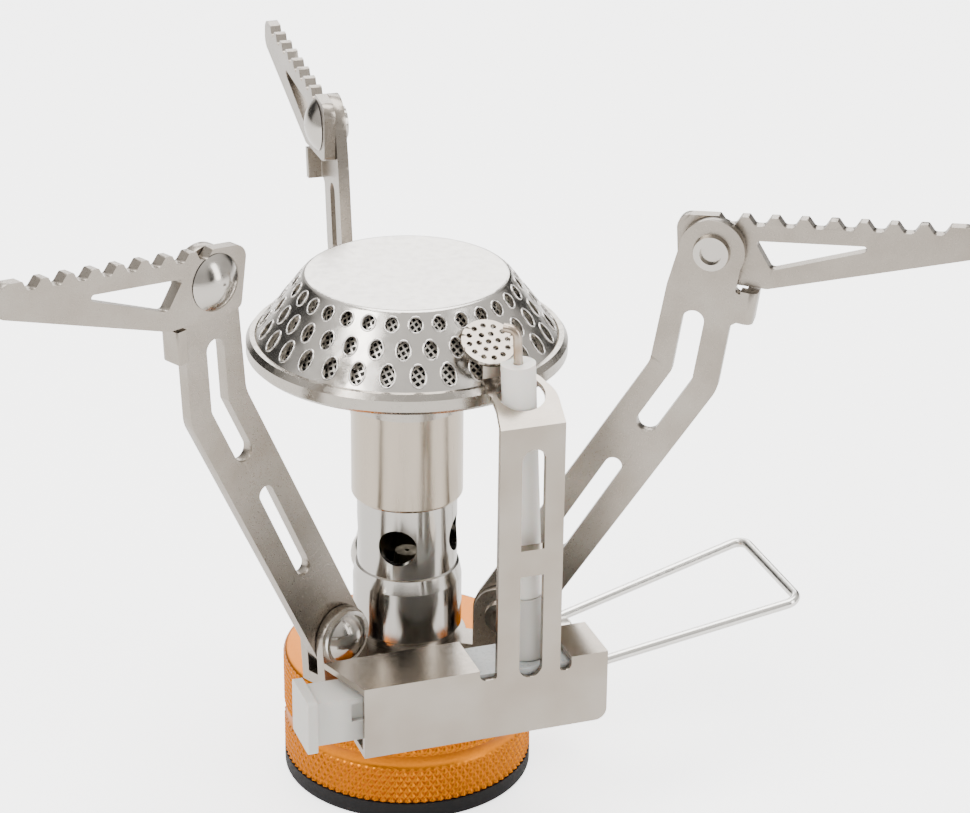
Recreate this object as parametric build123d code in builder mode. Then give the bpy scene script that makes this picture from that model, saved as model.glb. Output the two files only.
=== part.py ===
from build123d import *
from math import atan2, cos, degrees, hypot, pi, radians, sin, tan
import os

# Folding camping stove that screws on to a threaded gas canister.
#
# The origin is the centre of the socket's mouth, in the plane where the stove sits on the canister.
# +Z runs up the burner's axis. All sizes are in millimetres and all angles in degrees.

os.makedirs("parts", exist_ok=True)

# ---------------------------------------------------------------- driving dimensions
# base, screwed by hand on to the canister
BASE_RADIUS = 16.1
SEAT_RING_HEIGHT = 2.3
BASE_TOP = 16.7
BASE_BORE = 11.0
BASE_FLOOR = 2.0
GRIP_GROOVE_BOTTOM = 7.2
GRIP_GROOVE_TOP = 9.3
GRIP_GROOVE_DEPTH = 0.35

# threaded socket for a 7/16 inch canister
THREAD_RADIUS = 5.1
THREAD_LENGTH = 4.8
SOCKET_RELIEF = 5.7
SOCKET_DEPTH = 8.8
VALVE_BODY_TOP = BASE_TOP - BASE_FLOOR
NECK_RADIUS = 4.2
GAS_WAY = 0.9

# burner column
COLLAR_RADIUS = 7.0
COLLAR_BOTTOM = 20.2
COLLAR_TOP = 27.3
CHAMFER_TOP = 29.1
COLUMN_RADIUS = 6.4
COLUMN_BORE = 5.6
COLUMN_TOP = 47.0
AIR_HOLE_RADIUS = 2.45
AIR_HOLE_HEIGHT = 33.7
AIR_HOLE_AZIMUTH = -100
AIR_HOLES = 4
SLEEVE_RADIUS = 7.1
SLEEVE_BOTTOM = 38.9
SLEEVE_TOP = 55.0

# burner head
RIM_RADIUS = 20.0
RIM_BOTTOM = 58.2
RIM_TOP = 60.8
RIM_WIDTH = 1.1
CAP_TOP = 68.7
CAP_DISC_RADIUS = 12.7
CAP_SHEET = 0.6
PORTS_PER_ROW = 30
PORT_ROWS = ((0.17, 1.7, 2.0, 0.0), (0.48, 1.75, 2.5, 0.5), (0.79, 1.85, 2.9, 0.0))
MESH_SHEET = 0.3

# folding arms, three the same
ARM_AZIMUTHS = {"right": -13.5, "back": 106.5, "left": 226.5}
LEG_TILTS = {"right": 25.5, "back": 25.5, "left": 20.5}
LEG_PIVOT_RADIUS = 13.1
LEG_PIVOT_HEIGHT = 23.6
LEG_LENGTH = 57.4
LEG_SHEET = 1.5
ARM_SHEET = 1.5
ARM_ANGLE = 28.2
LEG_END_RADIUS = 4.2
TAB_FOOT = (8.6, 51.5)
TAB_LEAN = 18
TAB_LENGTH = 4.1
TAB_OUT = 1.9
TOOTH_PITCH = 3.54
VALLEYS = 8
FIRST_VALLEY = 2.0
VALLEY_HEIGHT = 2.95
TOOTH_HEIGHT = 4.05
ARM_REACH = 31.6

# riveted pivots
SHANK_RADIUS = 1.5
RUNNING_GAP = 0.06
SIDE_GAP = 0.1
EAR_SHEET = 1.2
EAR_PLATE_BOTTOM = 17.5
EAR_PLATE_SHEET = 1.5
DOME_RADIUS = 3.1
ARM_DOME_RADIUS = 3.45
DOME_HEIGHT = 1.5
TAIL_RADIUS = 2.3
WASHER_SHEET = 0.6
EAR_INNER = LEG_SHEET / 2 + SIDE_GAP
EAR_OUTER = EAR_INNER + EAR_SHEET
ARM_OUTER = LEG_SHEET / 2 + SIDE_GAP + ARM_SHEET

# valve spindle and its wire handle
VALVE_AZIMUTH = 19.5
VALVE_HEIGHT = 12.6
VALVE_ARM_RADIUS = 3.4
GLAND_FACE = 16.6
GLAND_BORE = 2.05
SPINDLE_RADIUS = 1.5
SPINDLE_BOSS_RADIUS = 4.3
SPINDLE_END = 22.6
HANDLE_HINGE = 20.4
HANDLE_WIRE = 1.3
HANDLE_REACH = 31.8
HANDLE_NEAR_HALF = 6.4
HANDLE_FAR_HALF = 9.4
HANDLE_RISE = 12.3

# igniter, on a bracket that stands in front of the base
IGNITER_FRONT = 26.0
BRACKET_SHEET = 0.8
BRACKET_LEFT = -13.8
BRACKET_RIGHT = 17.6
BRACKET_BOTTOM = BASE_TOP
BRACKET_TOP = 26.2
FLANGE_DEPTH = 8.0
STRIP_LEFT = 3.1
STRIP_RIGHT = 11.4
STRIP_TOP = 58.0
STRIP_SLOT_WIDTH = 3.0
TAB_RISE = 27
TAB_DEPTH = 8.2
TAB_HOLE_ALONG = 5.25
TAB_HOLE_SIDE = 7.35
TAB_HOLE_RADIUS = 3.0
TAB_RING_RADIUS = 3.75
NECK_SIDE = 4.5
NECK_WIDTH = 2.2
SPARK_DISC_DEPTH = 17.6
SPARK_DISC_SIDE = 4.5
SPARK_DISC_HEIGHT = 65.9
SPARK_DISC_SLOPE = 31
SPARK_DISC_RADIUS = 3.3
SPARK_HOLE_RADIUS = 0.36
SPARK_HOLE_PITCH = 1.2
PIEZO_FRONT = 25.1
PIEZO_BACK = 18.2
PIEZO_BOTTOM = 17.6
PIEZO_TOP = 25.2
PIEZO_LEFT = -11.5
PIEZO_RIGHT = 16.2
BUTTON_END = -20.6
BUTTON_PLATE = 1.2
BUTTON_TRAVEL = 4.0
STEM_DEPTH = 5.2
STEM_HEIGHT = 5.8
INSULATOR_RADIUS = 2.1
ELECTRODE_RADIUS = 0.55


# ---------------------------------------------------------------- planes and small helpers
def radial_plane(azimuth, side=0.0, radius=0.0, height=0.0, tilt=0.0):
    """Upright plane through the burner's axis: x runs outward, y up, leaning outward by tilt.

    side moves it towards the left of someone who looks outward. Its normal points to their right.
    """
    out = Vector(cos(radians(azimuth)), sin(radians(azimuth)), 0)
    left = Vector(-sin(radians(azimuth)), cos(radians(azimuth)), 0)
    up = Vector(0, 0, 1)
    across = out * cos(radians(tilt)) - up * sin(radians(tilt))
    return Plane(origin=out * radius + left * side + up * height, x_dir=across, z_dir=left * -1)


def igniter_plane(depth, height=0.0):
    """Upright plane at a depth in front of the axis: x runs along the piezo unit, y up."""
    return radial_plane(VALVE_AZIMUTH, side=-depth, height=height)


def igniter_floor(height):
    """Level plane: x runs along the piezo unit, y towards the back."""
    along = Vector(cos(radians(VALVE_AZIMUTH)), sin(radians(VALVE_AZIMUTH)), 0)
    return Plane(origin=(0, 0, height), x_dir=along, z_dir=(0, 0, 1))


def along_valve(distance):
    """Plane square to the valve's spindle, at a distance from the burner's axis."""
    along = Vector(cos(radians(VALVE_AZIMUTH)), sin(radians(VALVE_AZIMUTH)), 0)
    origin = along * distance + Vector(0, 0, VALVE_HEIGHT)
    return Plane(origin=origin, x_dir=(0, 0, 1), z_dir=along)


def igniter_point(along, back, height):
    """Point given along the piezo unit, towards the back from the axis, and up."""
    azimuth = radians(VALVE_AZIMUTH)
    x = along * cos(azimuth) - back * sin(azimuth)
    y = along * sin(azimuth) + back * cos(azimuth)
    return Vector(x, y, height)


def slot_cut(start, end, width):
    """Cut a round-ended slot between two centres out of the open sketch."""
    middle = ((start[0] + end[0]) / 2, (start[1] + end[1]) / 2)
    turn = degrees(atan2(end[1] - start[1], end[0] - start[0]))
    with Locations(middle):
        SlotCenterToCenter(hypot(end[0] - start[0], end[1] - start[1]), width, turn, mode=Mode.SUBTRACT)


def save(piece, name):
    """Label a finished piece and write its STEP file."""
    piece.part.label = name
    export_step(piece.part, f"parts/{name}.step")


# ---------------------------------------------------------------- base
def make_seat_ring():
    """Rubber ring that the canister's shoulder bears on."""
    with BuildPart() as ring:
        with BuildSketch():
            Circle(BASE_RADIUS)
            Circle(BASE_BORE, mode=Mode.SUBTRACT)
        extrude(amount=SEAT_RING_HEIGHT)
        fillet(ring.edges().filter_by(GeomType.CIRCLE).group_by(Axis.Z)[0].sort_by(SortBy.RADIUS)[-1], 0.5)
    save(ring, "canister_seat_ring")


def make_base_housing():
    """Knurled aluminium cup; the two grip bands carry a shallow smooth groove between them."""
    with BuildPart() as housing:
        with BuildSketch(Plane.XY.offset(SEAT_RING_HEIGHT)):
            Circle(BASE_RADIUS)
        extrude(amount=BASE_TOP - SEAT_RING_HEIGHT)
        chamfer(housing.edges().group_by(Axis.Z)[-1], 0.35)
        with BuildSketch(Plane.XY.offset(SEAT_RING_HEIGHT)):
            Circle(BASE_BORE)
        extrude(amount=VALVE_BODY_TOP - SEAT_RING_HEIGHT, mode=Mode.SUBTRACT)
        with BuildSketch(Plane.XY.offset(GRIP_GROOVE_BOTTOM)):
            Circle(BASE_RADIUS)
            Circle(BASE_RADIUS - GRIP_GROOVE_DEPTH, mode=Mode.SUBTRACT)
        extrude(amount=GRIP_GROOVE_TOP - GRIP_GROOVE_BOTTOM, mode=Mode.SUBTRACT)
        with Locations((0, 0, BASE_TOP)):
            Hole(NECK_RADIUS)
        with BuildSketch(along_valve(BASE_BORE - 2)):
            Circle(VALVE_ARM_RADIUS)
        extrude(amount=BASE_RADIUS, mode=Mode.SUBTRACT)
    save(housing, "base_housing")


def make_valve_body():
    """Brass body: threaded socket below, side arm for the spindle, neck that holds the burner."""
    with BuildPart() as body:
        with BuildSketch():
            Circle(BASE_BORE)
        extrude(amount=VALVE_BODY_TOP)
        with BuildSketch(Plane.XY.offset(VALVE_BODY_TOP)):
            Circle(NECK_RADIUS)
        extrude(amount=COLLAR_BOTTOM + 2.2 - VALVE_BODY_TOP)
        with BuildSketch(along_valve(BASE_BORE - 2)):
            Circle(VALVE_ARM_RADIUS)
        extrude(amount=GLAND_FACE - BASE_BORE + 2)
        with BuildSketch():
            Circle(THREAD_RADIUS)
        extrude(amount=THREAD_LENGTH, mode=Mode.SUBTRACT)
        with BuildSketch(Plane.XY.offset(THREAD_LENGTH)):
            Circle(SOCKET_RELIEF)
        extrude(amount=SOCKET_DEPTH - THREAD_LENGTH, mode=Mode.SUBTRACT)
        with BuildSketch(along_valve(4.0)):
            Circle(GLAND_BORE)
        extrude(amount=GLAND_FACE, mode=Mode.SUBTRACT)
        with BuildSketch(along_valve(0)):
            Circle(GAS_WAY)
        extrude(amount=5.0, mode=Mode.SUBTRACT)
        with BuildSketch(Plane.XY.offset(VALVE_HEIGHT)):
            Circle(GAS_WAY)
        extrude(amount=COLLAR_TOP, mode=Mode.SUBTRACT)
        inlet = igniter_point(5.3, 0, 0)
        with BuildSketch(Plane.XY.offset(SOCKET_DEPTH - 1)):
            with Locations((inlet.X, inlet.Y)):
                Circle(0.7)
        extrude(amount=VALVE_HEIGHT - SOCKET_DEPTH, mode=Mode.SUBTRACT)
    save(body, "valve_body")


def make_socket_parts():
    """Seal, opening pin and filter inside the threaded socket."""
    with BuildPart() as seal:
        with BuildSketch(Plane.XZ):
            with Locations((3.7, SOCKET_DEPTH - 0.8)):
                Circle(0.8)
        revolve(axis=Axis.Z)
    save(seal, "canister_seal")

    with BuildPart() as pin:
        with BuildSketch(Plane.XY.offset(THREAD_LENGTH + 0.6)):
            Circle(1.1)
        extrude(amount=SOCKET_DEPTH - THREAD_LENGTH - 0.6)
        chamfer(pin.edges().group_by(Axis.Z)[0], 0.3)
    save(pin, "opening_pin")

    with BuildPart() as strainer:
        with BuildSketch(Plane.XY.offset(SOCKET_DEPTH - 0.7)):
            Circle(2.7)
            Circle(1.1, mode=Mode.SUBTRACT)
        extrude(amount=0.7)
    save(strainer, "inlet_filter")


# ---------------------------------------------------------------- burner column and head
def make_jet():
    """Brass jet screwed into the neck, below the air holes."""
    with BuildPart() as jet:
        with BuildSketch(Plane.XY.offset(COLLAR_BOTTOM + 2.2)):
            RegularPolygon(3.0, 6)
        extrude(amount=3.4)
        with BuildSketch(Plane.XY.offset(COLLAR_BOTTOM + 5.6)):
            Circle(2.2)
        extrude(amount=4.6, taper=8)
        with Locations((0, 0, COLLAR_BOTTOM + 10.2)):
            Hole(0.3)
        with BuildSketch(Plane.XY.offset(COLLAR_BOTTOM + 2.2)):
            Circle(GAS_WAY)
        extrude(amount=6.5, mode=Mode.SUBTRACT)
    save(jet, "jet_nozzle")


def make_lock_washer():
    """Washer that the burner's collar clamps down on the bracket plates."""
    with BuildPart() as washer:
        with BuildSketch(Plane.XY.offset(EAR_PLATE_BOTTOM + EAR_PLATE_SHEET)):
            Circle(6.3)
            Circle(NECK_RADIUS, mode=Mode.SUBTRACT)
        extrude(amount=COLLAR_BOTTOM - EAR_PLATE_BOTTOM - EAR_PLATE_SHEET)
    save(washer, "lock_washer")


def make_burner_column():
    """Plated tube with a collar at its foot, a bright chamfer and a ring of air holes."""
    with BuildPart() as column:
        with BuildSketch(Plane.XZ):
            with BuildLine():
                Polyline(
                    (NECK_RADIUS, COLLAR_BOTTOM),
                    (COLLAR_RADIUS - 0.3, COLLAR_BOTTOM),
                    (COLLAR_RADIUS, COLLAR_BOTTOM + 0.3),
                    (COLLAR_RADIUS, COLLAR_TOP),
                    (COLUMN_RADIUS + 0.25, CHAMFER_TOP),
                    (COLUMN_RADIUS, CHAMFER_TOP + 0.15),
                    (COLUMN_RADIUS, COLUMN_TOP),
                    (COLUMN_BORE, COLUMN_TOP),
                    (COLUMN_BORE, COLLAR_BOTTOM + 2.2),
                    (NECK_RADIUS, COLLAR_BOTTOM + 2.2),
                    close=True,
                )
            make_face()
        revolve(axis=Axis.Z)
        for turn in range(AIR_HOLES):
            azimuth = AIR_HOLE_AZIMUTH + turn * 360 / AIR_HOLES
            out = Vector(cos(radians(azimuth)), sin(radians(azimuth)), 0)
            start = out * 3 + Vector(0, 0, AIR_HOLE_HEIGHT)
            with BuildSketch(Plane(origin=start, x_dir=(0, 0, 1), z_dir=out)):
                Circle(AIR_HOLE_RADIUS)
            extrude(amount=6, mode=Mode.SUBTRACT)
    save(column, "burner_column")


def make_mixing_tube():
    """Sleeve over the column's top, with a rolled lower edge."""
    with BuildPart() as sleeve:
        with BuildSketch(Plane.XY.offset(SLEEVE_BOTTOM)):
            Circle(SLEEVE_RADIUS)
            Circle(COLUMN_RADIUS, mode=Mode.SUBTRACT)
        extrude(amount=SLEEVE_TOP - SLEEVE_BOTTOM)
        lower = sleeve.edges().filter_by(GeomType.CIRCLE).group_by(Axis.Z)[0].sort_by(SortBy.RADIUS)[-1]
        fillet(lower, 0.45)
    save(sleeve, "mixing_tube")


def make_burner_pan():
    """Spun bowl under the cap, with its edge rolled up over the cap's hem."""
    with BuildPart() as pan:
        with BuildSketch(Plane.XZ):
            with BuildLine():
                Polyline(
                    (SLEEVE_RADIUS, SLEEVE_TOP - 3.2),
                    (SLEEVE_RADIUS + 0.6, SLEEVE_TOP - 3.2),
                    (SLEEVE_RADIUS + 0.6, SLEEVE_TOP - 1.0),
                    (SLEEVE_RADIUS + 4.0, SLEEVE_TOP + 0.6),
                    (RIM_RADIUS - 2.2, RIM_BOTTOM),
                    (RIM_RADIUS - 0.5, RIM_BOTTOM),
                    (RIM_RADIUS, RIM_BOTTOM + 0.5),
                    (RIM_RADIUS, RIM_TOP - 0.7),
                    (RIM_RADIUS - 0.5, RIM_TOP),
                    (RIM_RADIUS - RIM_WIDTH, RIM_TOP),
                    (RIM_RADIUS - RIM_WIDTH, RIM_BOTTOM + 0.7),
                    (RIM_RADIUS - 2.4, RIM_BOTTOM + 0.7),
                    (SLEEVE_RADIUS + 3.8, SLEEVE_TOP + 1.3),
                    (SLEEVE_RADIUS, SLEEVE_TOP),
                    close=True,
                )
            make_face()
        revolve(axis=Axis.Z)
    save(pan, "burner_pan")


def cap_slope():
    """Cone of the cap: radius and height at its upper and lower edge, and its slope from level."""
    upper = (CAP_DISC_RADIUS, CAP_TOP)
    lower = (RIM_RADIUS - RIM_WIDTH, RIM_TOP - 0.2)
    return upper, lower, degrees(atan2(upper[1] - lower[1], lower[0] - upper[0]))


def cone_shell(drop, sheet, foot):
    """Corners of a domed lid's half section, dropped below the cap's outer face by a distance."""
    upper, lower, slope = cap_slope()
    run = sin(radians(slope))
    fall = cos(radians(slope))
    top = CAP_TOP - drop
    return (
        (0, top),
        (upper[0] - drop * tan(radians(slope / 2)), top),
        (lower[0] - drop * run, lower[1] - drop * fall),
        (lower[0] - drop * run, foot),
        (lower[0] - drop * run - sheet, foot),
        (lower[0] - (drop + sheet) * run - 0.1, lower[1] - (drop + sheet) * fall - 0.1),
        (upper[0] - (drop + sheet) * tan(radians(slope / 2)), top - sheet),
        (0, top - sheet),
    )


def make_burner_cap():
    """Cone of sheet steel with three staggered rows of oval flame ports."""
    upper, lower, slope = cap_slope()
    with BuildPart() as cap:
        with BuildSketch(Plane.XZ):
            with BuildLine():
                Polyline(*cone_shell(0, CAP_SHEET, RIM_BOTTOM + 0.7), close=True)
            make_face()
        revolve(axis=Axis.Z)
        fillet(cap.edges().filter_by(GeomType.CIRCLE).group_by(Axis.Z)[-1], 0.7)
        for fraction, width, height, stagger in PORT_ROWS:
            radius = upper[0] + fraction * (lower[0] - upper[0])
            level = upper[1] + fraction * (lower[1] - upper[1])
            for port in range(PORTS_PER_ROW):
                azimuth = radians((port + stagger) * 360 / PORTS_PER_ROW)
                out = Vector(cos(azimuth), sin(azimuth), 0)
                normal = out * sin(radians(slope)) + Vector(0, 0, cos(radians(slope)))
                around = Vector(-sin(azimuth), cos(azimuth), 0)
                origin = out * radius + Vector(0, 0, level) - normal * 1.2
                with BuildSketch(Plane(origin=origin, x_dir=around, z_dir=normal)):
                    Ellipse(width / 2, height / 2)
        extrude(amount=2.0, mode=Mode.SUBTRACT)
    save(cap, "burner_cap")


def make_flame_mesh():
    """Fine gauze that lines the cap behind its ports."""
    with BuildPart() as gauze:
        with BuildSketch(Plane.XZ):
            with BuildLine():
                Polyline(*cone_shell(CAP_SHEET + 0.25, MESH_SHEET, RIM_BOTTOM + 1.0), close=True)
            make_face()
        revolve(axis=Axis.Z)
    save(gauze, "flame_mesh")


# ---------------------------------------------------------------- arms
def make_leg_bracket():
    """Plate under the burner's collar with three pairs of upright ears for the legs."""
    ear_radius = 3.9
    with BuildPart() as bracket:
        with BuildSketch(Plane.XY.offset(EAR_PLATE_BOTTOM)):
            Circle(7.6)
            for azimuth in ARM_AZIMUTHS.values():
                reach = LEG_PIVOT_RADIUS + ear_radius - 0.4
                with Locations(Location((0, 0, 0), (0, 0, azimuth))):
                    Rectangle(reach, 2 * EAR_OUTER, align=(Align.MIN, Align.CENTER))
            Circle(NECK_RADIUS, mode=Mode.SUBTRACT)
        extrude(amount=EAR_PLATE_SHEET)
        for azimuth in ARM_AZIMUTHS.values():
            for side in (EAR_OUTER, -EAR_INNER):
                with BuildSketch(radial_plane(azimuth, side=side)):
                    with Locations((LEG_PIVOT_RADIUS, LEG_PIVOT_HEIGHT)):
                        Circle(ear_radius)
                    low = EAR_PLATE_BOTTOM + 0.2
                    with BuildLine():
                        Polyline(
                            (LEG_PIVOT_RADIUS - ear_radius, low),
                            (LEG_PIVOT_RADIUS + ear_radius - 0.4, low),
                            (LEG_PIVOT_RADIUS + ear_radius, LEG_PIVOT_HEIGHT),
                            (LEG_PIVOT_RADIUS - ear_radius, LEG_PIVOT_HEIGHT),
                            close=True,
                        )
                    make_face()
                    with Locations((LEG_PIVOT_RADIUS, LEG_PIVOT_HEIGHT)):
                        Circle(SHANK_RADIUS, mode=Mode.SUBTRACT)
                extrude(amount=EAR_SHEET)
    save(bracket, "leg_bracket")


def rivet(plane, head_radius, grip_left, grip_right):
    """Rivet across a pivot: domed head on the left side, rolled tail with a dimple on the right.

    The plane is the pivot's own, at the leg's middle, so that its normal points to the right.
    """
    sphere_radius = (head_radius**2 + DOME_HEIGHT**2) / (2 * DOME_HEIGHT)
    with BuildPart() as piece:
        with BuildSketch(plane.offset(-grip_left)):
            Circle(SHANK_RADIUS)
        extrude(amount=grip_left + grip_right)
        with BuildSketch(plane.offset(-grip_left)):
            Circle(head_radius)
        extrude(amount=-DOME_HEIGHT)
        with Locations(plane.offset(-grip_left - DOME_HEIGHT + sphere_radius)):
            Sphere(sphere_radius, mode=Mode.INTERSECT)
        with BuildSketch(plane.offset(-grip_left)):
            Circle(SHANK_RADIUS)
        extrude(amount=grip_left + grip_right)
        with BuildSketch(plane.offset(grip_right)):
            Circle(TAIL_RADIUS)
        extrude(amount=0.8, taper=12)
        with BuildSketch(plane.offset(grip_right + 0.2)):
            Circle(1.35)
        extrude(amount=1.0, mode=Mode.SUBTRACT)
    return piece


def make_leg_pivots():
    """Lower rivets and the wave washers under their heads, one of each for every leg."""
    rivets = []
    washers = []
    for name, azimuth in ARM_AZIMUTHS.items():
        plane = radial_plane(azimuth, radius=LEG_PIVOT_RADIUS, height=LEG_PIVOT_HEIGHT)
        piece = rivet(plane, DOME_RADIUS, EAR_OUTER + WASHER_SHEET, EAR_OUTER)
        rivets.append(piece.part)
        with BuildPart() as washer:
            with BuildSketch(plane.offset(-EAR_OUTER)):
                Circle(DOME_RADIUS + 0.5)
                Circle(SHANK_RADIUS, mode=Mode.SUBTRACT)
            extrude(amount=-WASHER_SHEET)
        washers.append(washer.part)
    for name, group in (("leg_rivets", rivets), ("leg_spring_washers", washers)):
        with BuildPart() as joined:
            add(group)
        save(joined, name)


def make_leg(name):
    """Dog-leg strut of sheet steel with two lightening slots and a stop tab for the pot arm."""
    azimuth = ARM_AZIMUTHS[name]
    plane = radial_plane(azimuth, LEG_SHEET / 2, LEG_PIVOT_RADIUS, LEG_PIVOT_HEIGHT, LEG_TILTS[name])
    with BuildPart() as leg:
        with BuildSketch(plane):
            with BuildLine():
                FilletPolyline(
                    (-LEG_END_RADIUS, 0),
                    (0.1, 40.8),
                    (-2.8, 51.0),
                    (-4.0, LEG_LENGTH),
                    (3.95, LEG_LENGTH),
                    (4.8, 54.4),
                    (5.5, 54.3),
                    (5.6, 54.8),
                    (6.9, 51.1),
                    (6.3, 50.2),
                    (8.9, 41.8),
                    (LEG_END_RADIUS, 0),
                    radius=[5.0, 4.0, 0.1, 0.1, 0.35, 0.3, 0.05, 0.1, 0.5, 4.0],
                )
                Line((LEG_END_RADIUS, 0), (-LEG_END_RADIUS, 0))
            make_face()
            Circle(LEG_END_RADIUS)
            with Locations((0, LEG_LENGTH)):
                Circle(4.0)
                Circle(SHANK_RADIUS, mode=Mode.SUBTRACT)
            Circle(SHANK_RADIUS + RUNNING_GAP, mode=Mode.SUBTRACT)
            slot_cut((3.5, 33.6), (4.3, 41.3), 2.7)
            slot_cut((4.3, 41.3), (2.15, 48.4), 2.7)
            slot_cut((1.35, 12.7), (2.6, 26.0), 2.2)
        extrude(amount=LEG_SHEET)
        lean = radians(TAB_LEAN)
        bend_line = plane.y_dir * cos(lean) - plane.x_dir * sin(lean)
        across = plane.x_dir * cos(lean) + plane.y_dir * sin(lean)
        foot = plane.from_local_coords(Vector(*TAB_FOOT, 0))
        with BuildSketch(Plane(origin=foot, x_dir=across, z_dir=bend_line)):
            with BuildLine():
                FilletPolyline(
                    (-2.1, -LEG_SHEET),
                    (0, -LEG_SHEET),
                    (0, TAB_OUT),
                    (-1.45, TAB_OUT),
                    (-1.45, 0),
                    (-2.1, 0),
                    radius=[0.05, 1.1, 0.3, 0.1, 0.1, 0.05],
                    close=True,
                )
            make_face()
        extrude(amount=TAB_LENGTH)
    save(leg, f"leg_{name}")


def make_arm_rivet(name):
    """Upper rivet, fixed in the leg's head; the pot arm turns on it."""
    azimuth = ARM_AZIMUTHS[name]
    plane = pot_arm_plane(name)
    piece = rivet(plane, ARM_DOME_RADIUS, ARM_OUTER + SIDE_GAP, LEG_SHEET / 2)
    save(piece, f"arm_rivet_{name}")


def pot_arm_plane(name, side=0.0):
    """Plane of a pot arm at rest: origin on its pivot, x along its row of teeth."""
    azimuth = ARM_AZIMUTHS[name]
    leg_plane = radial_plane(azimuth, side, LEG_PIVOT_RADIUS, LEG_PIVOT_HEIGHT, LEG_TILTS[name])
    pivot = leg_plane.from_local_coords(Vector(0, LEG_LENGTH, 0))
    rise = ARM_ANGLE - LEG_TILTS[name]
    out = Vector(cos(radians(azimuth)), sin(radians(azimuth)), 0)
    x_dir = out * cos(radians(rise)) + Vector(0, 0, 1) * sin(radians(rise))
    return Plane(origin=pivot, x_dir=x_dir, z_dir=leg_plane.z_dir)


def arm_outline():
    """Corners of the pot arm and the radius of each, from the heel round to the tip and back."""
    corners = [(-4.4, -3.5), (-4.5, TOOTH_HEIGHT)]
    radii = [0.8, 1.7]
    for valley in range(VALLEYS):
        centre = FIRST_VALLEY + valley * TOOTH_PITCH
        for shift, height, radius in (
            (-1.3, TOOTH_HEIGHT, 0.25),
            (-0.55, VALLEY_HEIGHT, 0.45),
            (0.55, VALLEY_HEIGHT, 0.45),
            (1.3, TOOTH_HEIGHT, 0.25),
        ):
            corners.append((centre + shift, height))
            radii.append(radius)
    corners += [(ARM_REACH, TOOTH_HEIGHT), (ARM_REACH, 0.3), (6.4, -5.0), (-2.6, -4.0)]
    radii += [1.8, 1.6, 1.2, 0.8]
    return corners, radii


def make_pot_arm(name):
    """Toothed arm that carries the pot, with a three-cornered window."""
    corners, radii = arm_outline()
    with BuildPart() as arm:
        with BuildSketch(pot_arm_plane(name, ARM_OUTER)):
            with BuildLine():
                FilletPolyline(*corners, radius=radii, close=True)
            make_face()
            with BuildLine():
                FilletPolyline((4.9, 1.1), (6.9, -2.6), (21.0, 1.1), radius=[0.4, 0.6, 0.4], close=True)
            make_face(mode=Mode.SUBTRACT)
            Circle(SHANK_RADIUS + RUNNING_GAP, mode=Mode.SUBTRACT)
        extrude(amount=ARM_SHEET)
    save(arm, f"pot_arm_{name}")


# ---------------------------------------------------------------- valve spindle and handle
def make_gland_nut():
    """Nut that closes the valve's side arm round the spindle."""
    with BuildPart() as nut:
        with BuildSketch(along_valve(GLAND_FACE)):
            RegularPolygon(3.8, 6, major_radius=False)
        extrude(amount=1.4)
        with BuildSketch(along_valve(GLAND_FACE - 5)):
            Circle(GLAND_BORE)
        extrude(amount=5)
        with BuildSketch(along_valve(GLAND_FACE - 5)):
            Circle(SPINDLE_RADIUS + RUNNING_GAP)
        extrude(amount=8, mode=Mode.SUBTRACT)
    save(nut, "gland_nut")


def make_spindle():
    """Needle valve's spindle, with a cross hole in its boss for the handle."""
    boss_start = GLAND_FACE + 1.9
    with BuildPart() as spindle:
        with BuildSketch(along_valve(boss_start)):
            Circle(SPINDLE_RADIUS)
        extrude(amount=-(boss_start - 7.0))
        with BuildSketch(along_valve(7.0)):
            Circle(SPINDLE_RADIUS)
        extrude(amount=-2.4, taper=28)
        with BuildSketch(along_valve(boss_start)):
            Circle(SPINDLE_BOSS_RADIUS)
        extrude(amount=SPINDLE_END - boss_start)
        chamfer(spindle.edges().sort_by(Axis((0, 0, 0), along_valve(0).z_dir))[-1], 0.5)
        hinge = igniter_point(HANDLE_HINGE, 0, VALVE_HEIGHT)
        cross = Plane(origin=hinge, z_dir=radial_plane(VALVE_AZIMUTH).z_dir)
        with BuildSketch(cross):
            Circle(HANDLE_WIRE / 2 + RUNNING_GAP)
        extrude(amount=10, both=True, mode=Mode.SUBTRACT)
        with BuildSketch(along_valve(8.6)):
            Circle(SPINDLE_RADIUS)
            Circle(SPINDLE_RADIUS - 0.5, mode=Mode.SUBTRACT)
        extrude(amount=1.2, mode=Mode.SUBTRACT)
    save(spindle, "valve_spindle")

    with BuildPart() as ring:
        with BuildSketch(along_valve(8.65)):
            Circle(GLAND_BORE - 0.02)
            Circle(SPINDLE_RADIUS - 0.5, mode=Mode.SUBTRACT)
        extrude(amount=1.1)
        fillet(ring.edges().filter_by(GeomType.CIRCLE).sort_by(SortBy.RADIUS)[-2:], 0.3)
    save(ring, "spindle_seal")


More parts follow.
